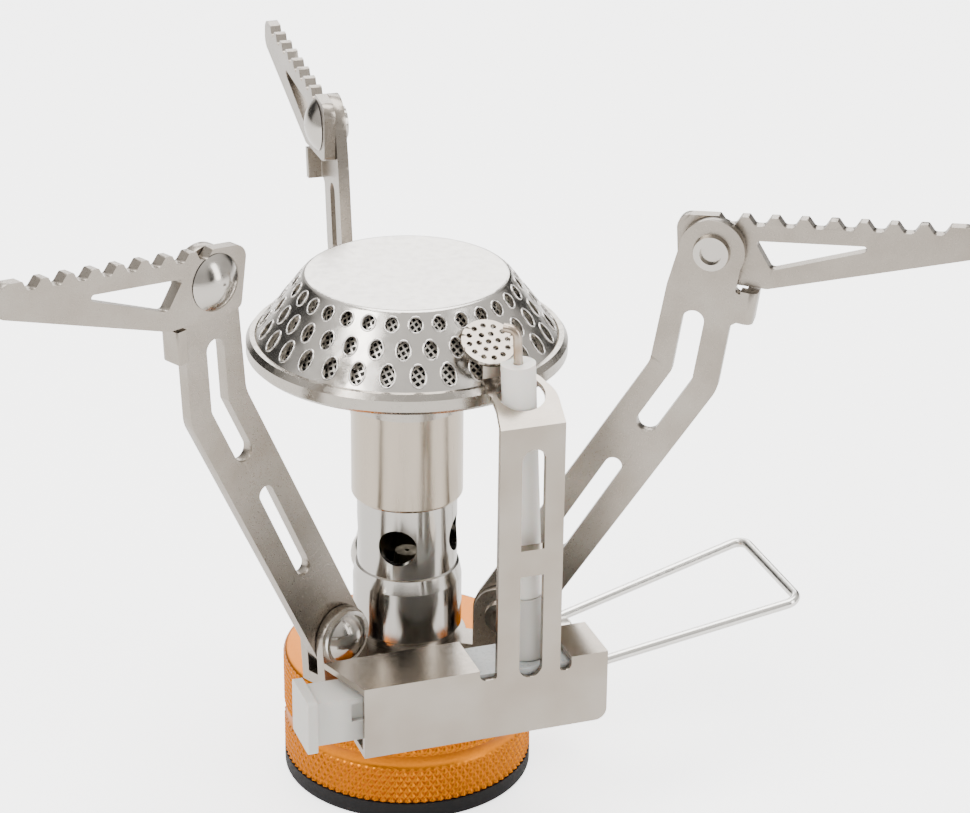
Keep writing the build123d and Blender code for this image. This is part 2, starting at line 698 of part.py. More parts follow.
def make_handle():
    """Loop of round wire whose two ends turn in to the spindle's cross hole."""
    out = Vector(cos(radians(VALVE_AZIMUTH)), sin(radians(VALVE_AZIMUTH)), 0)
    rise = out * cos(radians(HANDLE_RISE)) + Vector(0, 0, 1) * sin(radians(HANDLE_RISE))
    left = Vector(-sin(radians(VALVE_AZIMUTH)), cos(radians(VALVE_AZIMUTH)), 0)
    normal = rise.cross(left)
    plane = Plane(origin=igniter_point(HANDLE_HINGE, 0, VALVE_HEIGHT), x_dir=rise, z_dir=normal)
    with BuildPart() as handle:
        with BuildLine(plane) as loop:
            FilletPolyline(
                (0, 1.7),
                (0, HANDLE_NEAR_HALF),
                (HANDLE_REACH, HANDLE_FAR_HALF),
                (HANDLE_REACH, -HANDLE_FAR_HALF),
                (0, -HANDLE_NEAR_HALF),
                (0, -1.7),
                radius=[1.1, 1.7, 1.7, 1.1],
            )
        with BuildSketch(Plane(origin=loop.line @ 0, z_dir=loop.line % 0)):
            Circle(HANDLE_WIRE / 2)
        sweep(path=loop.line)
    save(handle, "wire_handle")


# ---------------------------------------------------------------- igniter
def tab_plane():
    """Plane of the strip's bent top: origin on the bend, x along the piezo unit, y up the slope."""
    azimuth = radians(VALVE_AZIMUTH)
    along = Vector(cos(azimuth), sin(azimuth), 0)
    back = Vector(-sin(azimuth), cos(azimuth), 0)
    slope = back * cos(radians(TAB_RISE)) + Vector(0, 0, 1) * sin(radians(TAB_RISE))
    return Plane(origin=igniter_point(0, -IGNITER_FRONT, STRIP_TOP), x_dir=along, z_dir=along.cross(slope))


def spark_disc_plane():
    """Plane of the perforated disc, flatter than the tab that carries it."""
    azimuth = radians(VALVE_AZIMUTH)
    along = Vector(cos(azimuth), sin(azimuth), 0)
    back = Vector(-sin(azimuth), cos(azimuth), 0)
    slope = back * cos(radians(SPARK_DISC_SLOPE)) + Vector(0, 0, 1) * sin(radians(SPARK_DISC_SLOPE))
    origin = igniter_point(SPARK_DISC_SIDE, -SPARK_DISC_DEPTH, SPARK_DISC_HEIGHT)
    return Plane(origin=origin, x_dir=along, z_dir=along.cross(slope))


def make_igniter_bracket():
    """Channel that holds the piezo unit, with an upright strip, insulator ring and spark disc."""
    front = igniter_plane(IGNITER_FRONT)
    slot_middle = (STRIP_LEFT + STRIP_RIGHT) / 2 + 0.2
    with BuildPart() as bracket:
        with BuildSketch(front):
            with BuildLine():
                FilletPolyline(
                    (BRACKET_LEFT, BRACKET_BOTTOM),
                    (BRACKET_LEFT, BRACKET_TOP),
                    (0.9, BRACKET_TOP),
                    (0.9, BRACKET_TOP - 1.4),
                    (STRIP_LEFT, BRACKET_TOP - 1.4),
                    (STRIP_LEFT + 0.1, STRIP_TOP),
                    (STRIP_RIGHT, STRIP_TOP),
                    (STRIP_RIGHT - 0.1, BRACKET_TOP - 1.7),
                    (12.8, BRACKET_TOP - 1.7),
                    (12.8, BRACKET_TOP),
                    (BRACKET_RIGHT, BRACKET_TOP),
                    (BRACKET_RIGHT, BRACKET_BOTTOM),
                    radius=[0.05, 0.05, 0.3, 0.8, 0.4, 0.05, 0.05, 0.4, 0.7, 0.3, 0.05, 1.5],
                    close=True,
                )
            make_face()
            slot_cut((slot_middle, 43.0), (slot_middle, 53.5), STRIP_SLOT_WIDTH)
            slot_cut((slot_middle, 25.8), (slot_middle, 36.0), STRIP_SLOT_WIDTH)
            with Locations((slot_middle, 36.7), (slot_middle, 42.6)):
                Rectangle(STRIP_SLOT_WIDTH, 3.0, mode=Mode.SUBTRACT)
        extrude(amount=-BRACKET_SHEET)
        for left, right, flare in ((BRACKET_LEFT, 0.9, 2.7), (12.8, BRACKET_RIGHT, 0.0)):
            back = FLANGE_DEPTH - IGNITER_FRONT
            with BuildSketch(igniter_floor(BRACKET_TOP - BRACKET_SHEET)):
                with BuildLine():
                    Polyline(
                        (left, -IGNITER_FRONT),
                        (right, -IGNITER_FRONT),
                        (right, back),
                        (left - flare, back),
                        close=True,
                    )
                make_face()
            extrude(amount=BRACKET_SHEET)
        with BuildSketch(igniter_floor(BRACKET_BOTTOM)):
            with BuildLine():
                Polyline(
                    (BRACKET_LEFT, -IGNITER_FRONT),
                    (BRACKET_RIGHT - 1.7, -IGNITER_FRONT),
                    (BRACKET_RIGHT - 1.7, -17.6),
                    (7.0, -15.0),
                    (7.0, 0.0),
                    (-7.0, 0.0),
                    (-7.0, -15.0),
                    (BRACKET_LEFT, -17.6),
                    close=True,
                )
            make_face()
            Circle(7.0)
            Circle(NECK_RADIUS, mode=Mode.SUBTRACT)
        extrude(amount=BRACKET_SHEET)
        with BuildSketch(igniter_floor(41.1)):
            with Locations((slot_middle, -IGNITER_FRONT + 0.75)):
                Rectangle(STRIP_SLOT_WIDTH + 0.6, 1.5)
        extrude(amount=0.6)
        with BuildSketch(tab_plane()):
            with BuildLine():
                FilletPolyline(
                    (STRIP_LEFT + 0.1, 0),
                    (STRIP_RIGHT, 0),
                    (STRIP_RIGHT + 0.7, TAB_DEPTH),
                    (STRIP_LEFT + 0.6, TAB_DEPTH),
                    (STRIP_LEFT + 0.6, TAB_HOLE_ALONG - 2.0),
                    radius=[0.05, 0.05, 4.2, 1.0, 1.0],
                    close=True,
                )
            make_face()
            with Locations((TAB_HOLE_SIDE, TAB_HOLE_ALONG)):
                Circle(TAB_RING_RADIUS)
            with Locations((NECK_SIDE, TAB_DEPTH - 1.4)):
                Rectangle(NECK_WIDTH, 2.8)
            with Locations((TAB_HOLE_SIDE, TAB_HOLE_ALONG)):
                Ellipse(TAB_HOLE_RADIUS, TAB_HOLE_RADIUS - 0.2, mode=Mode.SUBTRACT)
        extrude(amount=-BRACKET_SHEET * 0.9)
        tab_back = tab_plane().from_local_coords(Vector(NECK_SIDE, TAB_DEPTH, 0))
        disc_height = spark_disc_plane().origin.Z
        with BuildSketch(igniter_plane(IGNITER_FRONT - TAB_DEPTH * cos(radians(TAB_RISE)) + 0.1)):
            with Locations((NECK_SIDE, (tab_back.Z + disc_height) / 2 - 0.8)):
                Rectangle(NECK_WIDTH, disc_height - tab_back.Z - 0.2)
        extrude(amount=-BRACKET_SHEET * 0.9)
        with BuildSketch(spark_disc_plane()):
            Circle(SPARK_DISC_RADIUS)
            for ring in (1, 2):
                with PolarLocations(ring * SPARK_HOLE_PITCH, ring * 6):
                    Circle(SPARK_HOLE_RADIUS, mode=Mode.SUBTRACT)
            Circle(SPARK_HOLE_RADIUS, mode=Mode.SUBTRACT)
        extrude(amount=-BRACKET_SHEET * 0.8)
    save(bracket, "igniter_bracket")


def make_piezo_body():
    """Plastic case of the piezo unit, open at the button's end, with its spring chamber."""
    depth = PIEZO_FRONT - PIEZO_BACK
    height = PIEZO_TOP - PIEZO_BOTTOM
    centre = (-(PIEZO_FRONT + PIEZO_BACK) / 2, (PIEZO_TOP + PIEZO_BOTTOM) / 2)
    with BuildPart() as case:
        with BuildSketch(piezo_section(PIEZO_LEFT)):
            Rectangle(depth, height)
        extrude(amount=PIEZO_RIGHT - PIEZO_LEFT)
        with BuildSketch(piezo_section(PIEZO_LEFT)):
            Rectangle(STEM_DEPTH + 0.3, STEM_HEIGHT + 0.3)
        extrude(amount=11.5, mode=Mode.SUBTRACT)
    save(case, "piezo_case")


def piezo_section(along):
    """Plane square to the piezo unit, at a place along it; x runs to the back, y up."""
    out = Vector(cos(radians(VALVE_AZIMUTH)), sin(radians(VALVE_AZIMUTH)), 0)
    back = Vector(-sin(radians(VALVE_AZIMUTH)), cos(radians(VALVE_AZIMUTH)), 0)
    middle_depth = -(PIEZO_FRONT + PIEZO_BACK) / 2
    middle_height = (PIEZO_TOP + PIEZO_BOTTOM) / 2
    return Plane(origin=igniter_point(along, middle_depth, middle_height), x_dir=back, z_dir=out)


def make_piezo_button():
    """Button: a square thumb plate on a hollow stem that slides in the case."""
    with BuildPart() as button:
        with BuildSketch(piezo_section(BUTTON_END)):
            RectangleRounded(7.0, 7.1, 0.5)
        extrude(amount=BUTTON_PLATE)
        with BuildSketch(piezo_section(BUTTON_END + BUTTON_PLATE)):
            Rectangle(STEM_DEPTH, STEM_HEIGHT)
        extrude(amount=14.0)
        with BuildSketch(piezo_section(BUTTON_END + BUTTON_PLATE + 2.5)):
            Circle(1.9)
        extrude(amount=14.0, mode=Mode.SUBTRACT)
        with BuildSketch(igniter_plane((PIEZO_FRONT + PIEZO_BACK + STEM_DEPTH) / 2)):
            with Locations((BRACKET_LEFT - 0.3, 22.3)):
                Rectangle(1.6, 2.4)
        extrude(amount=-0.6, mode=Mode.SUBTRACT)
    save(button, "piezo_button")


def make_piezo_spring():
    """Return spring inside the stem, drawn as short as it is with the button pressed."""
    with BuildPart() as spring:
        chamber = piezo_section(-12.5)
        with BuildLine() as coil:
            Helix(1.6, 12.2, 1.4, center=chamber.origin, direction=chamber.z_dir)
        with BuildSketch(Plane(origin=coil.line @ 0, z_dir=coil.line % 0)):
            Circle(0.25)
        sweep(path=coil.line, is_frenet=True)
    save(spring, "piezo_spring")


def insulator_plane(height):
    """Plane square to the slightly leaning insulator, at a height on its axis."""
    low = igniter_point(8.3, -21.6, 31.0)
    high = igniter_point(6.9, -21.4, 64.4)
    axis = (high - low).normalized()
    return Plane(origin=low + axis * ((height - low.Z) / axis.Z), z_dir=axis)


def make_electrode():
    """Socket on the piezo case, white insulator and the bent wire that throws the spark."""
    with BuildPart() as socket:
        with BuildSketch(insulator_plane(PIEZO_TOP + 0.15)):
            Circle(2.35)
        extrude(amount=8.3)
        with BuildSketch(insulator_plane(PIEZO_TOP + 2.0)):
            Circle(INSULATOR_RADIUS - 0.15)
        extrude(amount=10, mode=Mode.SUBTRACT)
    save(socket, "electrode_socket")

    foot = insulator_plane(PIEZO_TOP + 2.0)
    length = 64.4 - PIEZO_TOP - 2.0
    with BuildPart() as insulator:
        with BuildSketch(foot):
            Circle(INSULATOR_RADIUS - 0.15)
        extrude(amount=length)
        with BuildSketch(foot.offset(6.6)):
            Circle(INSULATOR_RADIUS)
        extrude(amount=length - 6.6)
        with BuildSketch(foot):
            Circle(ELECTRODE_RADIUS)
        extrude(amount=length + 5, mode=Mode.SUBTRACT)
        fillet(insulator.edges().filter_by(GeomType.CIRCLE).sort_by(Axis.Z)[-1], 0.2)
    save(insulator, "insulator")

    start = insulator_plane(PIEZO_TOP + 2.0).origin
    knee = insulator_plane(68.6).origin
    toward_disc = igniter_point(-1.3, 1.0, 0.1)
    with BuildPart() as electrode:
        with BuildLine() as path:
            FilletPolyline(start, knee, knee + toward_disc, radius=1.1)
        with BuildSketch(Plane(origin=path.line @ 0, z_dir=path.line % 0)):
            Circle(ELECTRODE_RADIUS)
        sweep(path=path.line)
    save(electrode, "electrode_wire")


make_seat_ring()
make_base_housing()
make_valve_body()
make_socket_parts()
make_jet()
make_lock_washer()
make_burner_column()
make_mixing_tube()
make_burner_pan()
make_burner_cap()
make_flame_mesh()
make_leg_bracket()
make_leg_pivots()
for arm_name in ARM_AZIMUTHS:
    make_leg(arm_name)
    make_arm_rivet(arm_name)
    make_pot_arm(arm_name)
make_gland_nut()
make_spindle()
make_handle()
make_igniter_bracket()
make_piezo_body()
make_piezo_button()
make_piezo_spring()
make_electrode()
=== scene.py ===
import math

import bpy
import numpy as np
from mathutils import Matrix, Vector


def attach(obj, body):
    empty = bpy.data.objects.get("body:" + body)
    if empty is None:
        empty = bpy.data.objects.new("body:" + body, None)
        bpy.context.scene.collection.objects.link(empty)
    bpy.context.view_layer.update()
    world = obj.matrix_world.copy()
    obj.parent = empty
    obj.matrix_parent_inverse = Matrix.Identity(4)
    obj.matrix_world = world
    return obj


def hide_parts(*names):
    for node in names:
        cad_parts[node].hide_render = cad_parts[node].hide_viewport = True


# Looks for the folding camping stove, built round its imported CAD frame.
# Lengths are in millimetres where they are turned into metres by MM, and in metres elsewhere.
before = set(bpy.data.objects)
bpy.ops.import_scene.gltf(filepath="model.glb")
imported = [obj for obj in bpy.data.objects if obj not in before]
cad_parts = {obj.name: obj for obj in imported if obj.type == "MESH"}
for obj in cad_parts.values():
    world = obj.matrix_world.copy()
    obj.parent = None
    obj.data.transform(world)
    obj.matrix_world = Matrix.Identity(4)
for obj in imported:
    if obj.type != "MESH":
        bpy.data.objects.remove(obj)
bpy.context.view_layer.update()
MM = 0.001


# ---------------------------------------------------------------- materials
class Shader:
    """Small helper round one material's node tree."""

    def __init__(self, name, color, metallic, roughness, **sockets):
        self.material = bpy.data.materials.new(name)
        self.material.use_nodes = True
        self.tree = self.material.node_tree
        self.bsdf = self.tree.nodes["Principled BSDF"]
        self.bsdf.inputs["Base Color"].default_value = (*color, 1.0)
        self.bsdf.inputs["Metallic"].default_value = metallic
        self.bsdf.inputs["Roughness"].default_value = roughness
        for socket, value in sockets.items():
            self.bsdf.inputs[socket.replace("_", " ")].default_value = value
        self.material.diffuse_color = (*color, 1.0)

    def node(self, kind, **settings):
        made = self.tree.nodes.new(kind)
        for key, value in settings.items():
            if key in made.inputs:
                made.inputs[key].default_value = value
            else:
                setattr(made, key, value)
        return made

    def link(self, source, target):
        self.tree.links.new(source, target)

    def coordinates(self, scale=(1.0, 1.0, 1.0), turn=(0.0, 0.0, 0.0)):
        """Object coordinates, scaled and turned."""
        source = self.node("ShaderNodeTexCoord")
        mapping = self.node("ShaderNodeMapping")
        mapping.inputs["Scale"].default_value = scale
        mapping.inputs["Rotation"].default_value = turn
        self.link(source.outputs["Object"], mapping.inputs["Vector"])
        return mapping.outputs["Vector"]

    def noise(self, vector, scale, detail=3.0, rough=0.5):
        made = self.node("ShaderNodeTexNoise", Scale=scale, Detail=detail, Roughness=rough)
        self.link(vector, made.inputs["Vector"])
        return made.outputs["Fac"]

    def ramp(self, factor, low, high, start=0.3, end=0.7):
        made = self.node("ShaderNodeMapRange")
        made.inputs["From Min"].default_value = start
        made.inputs["From Max"].default_value = end
        made.inputs["To Min"].default_value = low
        made.inputs["To Max"].default_value = high
        self.link(factor, made.inputs["Value"])
        return made.outputs["Result"]

    def mix(self, factor, first, second):
        made = self.node("ShaderNodeMix", data_type="RGBA")
        made.inputs[6].default_value = (*first, 1.0)
        made.inputs[7].default_value = (*second, 1.0)
        self.link(factor, made.inputs["Factor"])
        return made.outputs[2]

    def bump(self, height, strength, distance):
        made = self.node("ShaderNodeBump", Strength=strength, Distance=distance)
        self.link(height, made.inputs["Height"])
        if self.bsdf.inputs["Normal"].is_linked:
            self.link(self.bsdf.inputs["Normal"].links[0].from_socket, made.inputs["Normal"])
        self.link(made.outputs["Normal"], self.bsdf.inputs["Normal"])


def sheet_steel():
    """Rolled stainless sheet, satin from tumbling, with a faint warm cast."""
    made = Shader("satin_sheet_steel", (0.33, 0.295, 0.255), 1.0, 0.30)
    fine = made.noise(made.coordinates(), 5200.0, 4.0, 0.6)
    broad = made.noise(made.coordinates(), 160.0, 3.0)
    made.link(made.ramp(fine, 0.25, 0.36), made.bsdf.inputs["Roughness"])
    tint = made.mix(made.ramp(broad, 0.0, 1.0), (0.30, 0.265, 0.225), (0.36, 0.325, 0.285))
    made.link(tint, made.bsdf.inputs["Base Color"])
    made.bump(fine, 0.04, 0.00001)
    made.bump(made.noise(made.coordinates(), 55.0, 2.0), 0.10, 0.0003)
    return made.material


def bracket_steel():
    """The igniter bracket's sheet, smoother than the arms and brushed along its length."""
    made = Shader("bracket_sheet_steel", (0.34, 0.30, 0.255), 1.0, 0.22)
    brushed = made.noise(made.coordinates((1.0, 1.0, 9.0), (0, 0, math.radians(-19.5))), 1400.0, 4.0, 0.6)
    broad = made.noise(made.coordinates(), 140.0)
    made.link(made.ramp(brushed, 0.17, 0.24), made.bsdf.inputs["Roughness"])
    tint = made.mix(made.ramp(broad, 0.0, 1.0), (0.31, 0.27, 0.225), (0.37, 0.33, 0.285))
    made.link(tint, made.bsdf.inputs["Base Color"])
    made.bump(made.noise(made.coordinates(), 60.0, 2.0), 0.12, 0.0003)
    return made.material


def polished_steel(name, color, rough, stretch=(1.0, 1.0, 1.0)):
    """Bright steel with fine handling marks."""
    made = Shader(name, color, 1.0, rough)
    marks = made.noise(made.coordinates(stretch), 900.0, 5.0, 0.6)
    broad = made.noise(made.coordinates(), 220.0)
    made.link(made.ramp(marks, rough * 0.75, rough * 1.5), made.bsdf.inputs["Roughness"])
    made.bump(broad, 0.05, 0.00005)
    return made.material


def anodised(name):
    """Orange anodised aluminium."""
    made = Shader(name, (0.56, 0.165, 0.001), 1.0, 0.32)
    fine = made.noise(made.coordinates(), 2600.0, 3.0)
    made.link(made.ramp(fine, 0.28, 0.42), made.bsdf.inputs["Roughness"])
    tint = made.mix(made.ramp(fine, 0.0, 1.0), (0.52, 0.15, 0.001), (0.60, 0.18, 0.002))
    made.link(tint, made.bsdf.inputs["Base Color"])
    return made.material


def rubber(name, color):
    made = Shader(name, color, 0.0, 0.55)
    made.bsdf.inputs["Specular IOR Level"].default_value = 0.2
    fine = made.noise(made.coordinates(), 3000.0)
    made.link(made.ramp(fine, 0.48, 0.66), made.bsdf.inputs["Roughness"])
    made.bump(fine, 0.15, 0.00003)
    return made.material


def plastic(name, color, rough, sub=0.0):
    made = Shader(name, color, 0.0, rough)
    made.bsdf.inputs["Subsurface Weight"].default_value = sub
    made.bsdf.inputs["Subsurface Scale"].default_value = 0.001
    fine = made.noise(made.coordinates(), 2200.0)
    made.link(made.ramp(fine, rough * 0.9, rough * 1.15), made.bsdf.inputs["Roughness"])
    made.bump(fine, 0.05, 0.00002)
    return made.material


def heat_tinted():
    """Electrode wire, browned in patches along its length."""
    made = Shader("heat_tinted_wire", (0.42, 0.36, 0.30), 1.0, 0.32)
    bands = made.noise(made.coordinates((1.0, 1.0, 1.0)), 420.0, 2.0)
    tint = made.mix(made.ramp(bands, 0.0, 1.0), (0.50, 0.44, 0.38), (0.33, 0.25, 0.18))
    made.link(tint, made.bsdf.inputs["Base Color"])
    return made.material


def brass():
    made = Shader("turned_brass", (0.72, 0.50, 0.20), 1.0, 0.26)
    rings = made.noise(made.coordinates((1.0, 1.0, 8.0)), 900.0)
    made.link(made.ramp(rings, 0.2, 0.34), made.bsdf.inputs["Roughness"])
    return made.material


def woven_wire(name, painted_gap_shade):
    """Fine woven gauze: bright crossing wires over gaps coloured near-black as painted shade of the hollow
    burner behind them.
    """
    made = Shader(name, (0.35, 0.33, 0.31), 0.9, 0.35)
    source = made.node("ShaderNodeTexCoord")
    wires = []
    for angle in (32, 122):
        mapping = made.node("ShaderNodeMapping")
        mapping.inputs["Rotation"].default_value = (0, 0, math.radians(angle))
        made.link(source.outputs["UV"], mapping.inputs["Vector"])
        wave = made.node("ShaderNodeTexWave", wave_type="BANDS", bands_direction="X", Scale=0.46)
        made.link(mapping.outputs["Vector"], wave.inputs["Vector"])
        wires.append(made.ramp(wave.outputs["Fac"], 0.0, 1.0, 0.60, 0.82))
    both = made.node("ShaderNodeMath", operation="MAXIMUM")
    made.link(wires[0], both.inputs[0])
    made.link(wires[1], both.inputs[1])
    # The gap colour between the wires is painted shade, not a colour of the gauze itself.
    made.link(made.mix(both.outputs[0], painted_gap_shade, (0.80, 0.76, 0.70)), made.bsdf.inputs["Base Color"])
    made.bump(both.outputs[0], 0.8, 0.0001)
    return made.material


SHEET = sheet_steel()
BRACKET = bracket_steel()
POLISHED = polished_steel("polished_rivet_steel", (0.48, 0.45, 0.41), 0.16)
COLUMN = polished_steel("plated_column_steel", (0.44, 0.42, 0.39), 0.14, (1.0, 1.0, 0.15))
SLEEVE = polished_steel("satin_sleeve_steel", (0.43, 0.37, 0.30), 0.20, (1.0, 1.0, 0.1))
HEAD = polished_steel("burner_head_steel", (0.60, 0.57, 0.53), 0.18)
PAN = polished_steel("burner_pan_steel", (0.40, 0.37, 0.33), 0.22)
WIRE = polished_steel("bright_wire", (0.78, 0.76, 0.72), 0.20)
ORANGE = anodised("orange_anodised_aluminium")
BLACK_RUBBER = rubber("black_seat_rubber", (0.012, 0.012, 0.013))
SEAL = rubber("seal_rubber", (0.02, 0.02, 0.02))
GREY = plastic("grey_button_plastic", (0.52, 0.505, 0.47), 0.40, 0.15)
CERAMIC = plastic("white_ceramic", (0.76, 0.73, 0.68), 0.36, 0.2)
CASE = plastic("pale_case_plastic", (0.42, 0.43, 0.425), 0.28, 0.15)
TINTED = heat_tinted()
BRASS = brass()
SOOTED = polished_steel("sooted_jet_brass", (0.07, 0.055, 0.03), 0.5)
# Near-black gap colour: painted shade of the burner's hollow seen through the weave.
GAUZE = woven_wire("flame_gauze", (0.015, 0.014, 0.013))
# Port rims are the cap's own steel made lighter: a painted highlight on the raised edges.
PORT_RIM_PAINTED_HIGHLIGHT = polished_steel("punched_port_edges_painted_highlight", (0.72, 0.69, 0.66), 0.16)

FINISH = {
    "canister_seat_ring": BLACK_RUBBER,
    "base_housing": ORANGE,
    "valve_body": BRASS,
    "canister_seal": SEAL,
    "opening_pin": BRASS,
    "inlet_filter": POLISHED,
    "jet_nozzle": SOOTED,
    "spindle_seal": SEAL,
    "gland_nut": BRASS,
    "lock_washer": POLISHED,
    "leg_bracket": SHEET,
    "leg_rivets": POLISHED,
    "leg_spring_washers": WIRE,
    "burner_column": COLUMN,
    "mixing_tube": SLEEVE,
    "burner_pan": PAN,
    "burner_cap": HEAD,
    "flame_mesh": GAUZE,
    "igniter_bracket": BRACKET,
    "piezo_case": CASE,
    "piezo_spring": WIRE,
    "electrode_socket": GREY,
    "insulator": CERAMIC,
    "electrode_wire": TINTED,
    "valve_spindle": POLISHED,
    "wire_handle": WIRE,
    "piezo_button": GREY,
}
for arm in ("right", "back", "left"):
    FINISH["leg_" + arm] = SHEET
    FINISH["pot_arm_" + arm] = SHEET
    FINISH["arm_rivet_" + arm] = POLISHED


def finish_with(obj, material):
    """Every material slot of an object takes the finish."""
    if not obj.data.materials:
        obj.data.materials.append(material)
    for number in range(len(obj.material_slots)):
        obj.material_slots[number].material = material


for name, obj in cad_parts.items():
    finish_with(obj, FINISH[name])


# ---------------------------------------------------------------- pieces with more detail than the frame
def mesh_piece(name, vertices, faces, material, body, smooth=True, replaced=()):
    """Mesh object from millimetre vertices, riding on a body of the frame."""
    mesh = bpy.data.meshes.new(name)
    mesh.from_pydata([tuple(float(c) * MM for c in vertex) for vertex in vertices], [], faces)
    mesh.validate()
    mesh.polygons.foreach_set("use_smooth", [smooth] * len(mesh.polygons))
    obj = bpy.data.objects.new(name, mesh)
    bpy.context.scene.collection.objects.link(obj)
    mesh.materials.append(material)
    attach(obj, body)
    if replaced:
        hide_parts(*replaced)
    return obj


BASE_RADIUS = 16.1
BASE_FOOT = 2.3
BASE_TOP = 16.7
FOOT_RADIUS = 15.6
NECK_RADIUS = 4.2
GROOVE_RADIUS = 15.78
GROOVE_TOP = 9.05
GRIP_BANDS = ((2.5, 7.1), (9.4, 16.25))
KNURLS = 94
KNURL_HEIGHT = 1.6
KNURL_GAP = 0.34
KNURL_DEPTH = 0.3
COLUMNS_A_KNURL = 12
ROW_STEP = 0.13


def knurl_depth(turn, height):
    """How deep the cut is at a place on the grip, from two crossing families of grooves."""
    depth = 0.0
    for way in (-1, 1):
        across = turn * KNURLS + way * height / KNURL_HEIGHT
        gap = abs(across - round(across))
        depth = max(depth, 1.0 - gap / KNURL_GAP)
    return depth


def build_base():
    """Base housing with a real diamond knurl on its two grip bands."""
    columns = KNURLS * COLUMNS_A_KNURL
    rows = [(11.0, BASE_FOOT, False), (FOOT_RADIUS, BASE_FOOT, False), (15.85, 2.36, False)]
    for low, high in GRIP_BANDS:
        count = int((high - low) / ROW_STEP)
        if low > GROOVE_TOP:
            rows.append((16.05, low - 0.1, False))
        for step in range(count + 1):
            rows.append((BASE_RADIUS, low + (high - low) * step / count, True))
        if high < GROOVE_TOP:
            rows += [(15.95, high + 0.12, False), (GROOVE_RADIUS, high + 0.3, False)]
            rows.append((GROOVE_RADIUS, GROOVE_TOP, False))
    rows += [(16.02, 16.36, False), (15.8, 16.62, False), (15.6, 16.68, False)]
    rows += [(15.3, BASE_TOP, False), (NECK_RADIUS, BASE_TOP, False)]
    vertices = []
    for radius, height, cut in rows:
        for column in range(columns):
            turn = column / columns
            r = radius - (KNURL_DEPTH * max(0.0, knurl_depth(turn, height)) if cut else 0.0)
            angle = turn * math.tau
            vertices.append((r * math.cos(angle), r * math.sin(angle), height))
    faces = []
    for row in range(len(rows) - 1):
        start = row * columns
        for column in range(columns):
            after = (column + 1) % columns
            faces.append((start + column, start + after, start + columns + after, start + columns + column))
    mesh_piece("knurled_base", vertices, faces, ORANGE, "stove",
               replaced=("base_housing",))


CAP_UPPER = (12.7, 68.7)
CAP_LOWER = (18.9, 60.6)
CAP_SLOPE = math.atan2(CAP_UPPER[1] - CAP_LOWER[1], CAP_LOWER[0] - CAP_UPPER[0])
PORTS = 30
RIM_WIDTH = 0.13
RIM_HEIGHT = 0.11
PORT_ROWS = ((0.17, 1.7, 2.0, 0.0), (0.48, 1.75, 2.5, 0.5), (0.79, 1.85, 2.9, 0.0))


def build_gauze():
    """Cone of woven wire behind the ports, laid out so that the weave keeps one size."""
    columns = 180
    rings = [(0.05, 67.55), (11.9, 67.55), (12.2, 67.4)]
    for step in range(9):
        part = step / 8
        rings.append((12.25 + 5.85 * part, 67.3 - 7.5 * part))
    vertices = []
    uv = []
    slant = 0.0
    for number, (radius, height) in enumerate(rings):
        if number:
            slant += math.hypot(radius - rings[number - 1][0], height - rings[number - 1][1])
        for column in range(columns + 1):
            angle = column / columns * math.tau
            vertices.append((radius * math.cos(angle), radius * math.sin(angle), height))
            uv.append((angle * 15.5, slant))
    faces = []
    for ring in range(len(rings) - 1):
        start = ring * (columns + 1)
        for column in range(columns):
            first = start + column
            faces.append((first, first + columns + 1, first + columns + 2, first + 1))
    gauze = mesh_piece("woven_gauze", vertices, faces, GAUZE, "stove",
                       replaced=("flame_mesh",))
    layer = gauze.data.uv_layers.new(name="weave")
    for loop in gauze.data.loops:
        layer.data[loop.index].uv = uv[loop.vertex_index]


def build_port_rims():
    """Raised edge left round each punched port, in a lighter steel than the cap: real raised geometry with
    a painted highlight on the same metal.
    """
    vertices = []
    faces = []
    around, section = 20, 6
    for fraction, width, height, stagger in PORT_ROWS:
        radius = CAP_UPPER[0] + fraction * (CAP_LOWER[0] - CAP_UPPER[0])
        level = CAP_UPPER[1] + fraction * (CAP_LOWER[1] - CAP_UPPER[1])
        for port in range(PORTS):
            azimuth = (port + stagger) * math.tau / PORTS
            out = np.array((math.cos(azimuth), math.sin(azimuth), 0.0))
            up = np.array((0.0, 0.0, 1.0))
            normal = out * math.sin(CAP_SLOPE) + up * math.cos(CAP_SLOPE)
            side = np.array((-math.sin(azimuth), math.cos(azimuth), 0.0))
            rise = np.cross(normal, side)
            centre = out * radius + up * level
            base = len(vertices)
            for step in range(around):
                angle = step / around * math.tau
                c, s = math.cos(angle), math.sin(angle)
                spot = centre + side * c * (width / 2 + 0.03) + rise * s * (height / 2 + 0.03)
                away = side * c * height + rise * s * width
                away /= np.linalg.norm(away)
                for corner in range(section):
                    twist = corner / section * math.tau
                    edge = away * math.cos(twist) * RIM_WIDTH + normal * math.sin(twist) * RIM_HEIGHT
                    vertices.append(spot + edge)
            for step in range(around):
                for corner in range(section):
                    a = base + step * section + corner
                    b = base + step * section + (corner + 1) % section
                    c = base + (step + 1) % around * section + (corner + 1) % section
                    d = base + (step + 1) % around * section + corner
                    faces.append((a, b, c, d))
    mesh_piece("port_rims", vertices, faces, PORT_RIM_PAINTED_HIGHLIGHT, "stove")


build_base()
build_gauze()
build_port_rims()


def soften(name, width, segments=2):
    """Rounded edges on a piece of the frame."""
    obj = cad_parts[name]
    weld = obj.modifiers.new("weld", "WELD")
    weld.merge_threshold = 0.000002
    bevel = obj.modifiers.new("soft_edges", "BEVEL")
    bevel.width = width * MM
    bevel.segments = segments
    bevel.limit_method = "ANGLE"
    bevel.angle_limit = math.radians(40)
    bevel.harden_normals = True


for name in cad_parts:
    if name.startswith(("leg_right", "leg_back", "leg_left", "pot_arm")):
        soften(name, 0.22)
    if name in ("igniter_bracket", "leg_bracket"):
        soften(name, 0.14)
    if name == "piezo_button":
        soften(name, 0.25)


